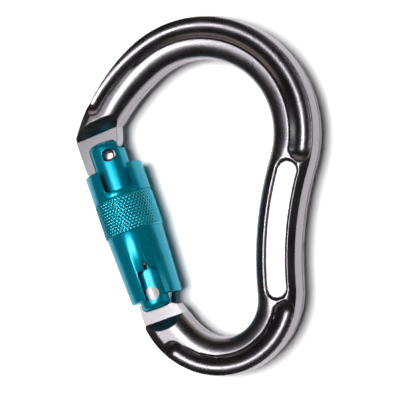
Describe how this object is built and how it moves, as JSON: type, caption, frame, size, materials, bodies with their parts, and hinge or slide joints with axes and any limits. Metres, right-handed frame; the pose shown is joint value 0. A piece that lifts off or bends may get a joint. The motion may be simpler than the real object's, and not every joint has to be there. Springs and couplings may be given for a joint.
{
  "type": "locking carabiner",
  "caption": "Pear-shaped forged aluminium carabiner with an inward-opening gate and a spring-loaded twist-lock sleeve with a diamond-knurled band",
  "frame": {"origin": "centre of the large basket's inner arc, on the parting plane halfway through the body's thickness", "axes": "+Y from the small basket (hinge end) to the large basket (nose end), +X from the gate to the spine, +Z out of the front face"},
  "size_m": [0.0764, 0.1072, 0.018],
  "materials": {
    "forged_alloy": "polished forged aluminium alloy",
    "gate_alloy": "teal anodised aluminium alloy, turned and polished",
    "sleeve_alloy": "teal anodised aluminium alloy, turned, with a knurled band",
    "pin_steel": "stainless steel, rivetted",
    "spring_steel": "stainless spring wire",
    "small_steel": "stainless steel, turned",
    "bush_brass": "plain bearing brass"
  },
  "bodies": {
    "body": {"carabiner_body": "forged_alloy"},
    "gate": {"gate": "gate_alloy", "hinge_pin": "pin_steel", "latch_pin": "pin_steel", "stop_pin": "small_steel", "retaining_ring": "spring_steel", "gate_spring": "spring_steel", "sleeve_spring": "spring_steel"},
    "sleeve": {"locking_sleeve": "sleeve_alloy", "stop_bush": "bush_brass"},
    "plunger": {"gate_plunger": "small_steel"}
  },
  "joints": [
    {"name": "gate_hinge", "type": "hinge", "parent": "body", "child": "gate", "pos_m": [-0.02052, -0.04468, 0], "axis": [0, 0, -1], "range_deg": [0, 26], "stiffness_Nm_per_rad": 0.4, "springref_deg": -20.05},
    {"name": "sleeve_turn", "type": "hinge", "parent": "gate", "child": "sleeve", "pos_m": [-0.02482, -0.03027, 0], "axis": [0.2215, -0.9751, 0], "range_deg": [0, 110], "stiffness_Nm_per_rad": 0.02, "springref_deg": -91.67, "deforming": ["sleeve_spring"]},
    {"name": "plunger_slide", "type": "slide", "parent": "gate", "child": "plunger", "axis": [-0.2215, 0.9751, 0], "range_m": [0, 0.00114], "deforming": ["gate_spring"]}
  ],
  "couplings": [
    {"joint": "plunger_slide", "follows": "gate_hinge", "m_per_rad": 0.00251}
  ]
}
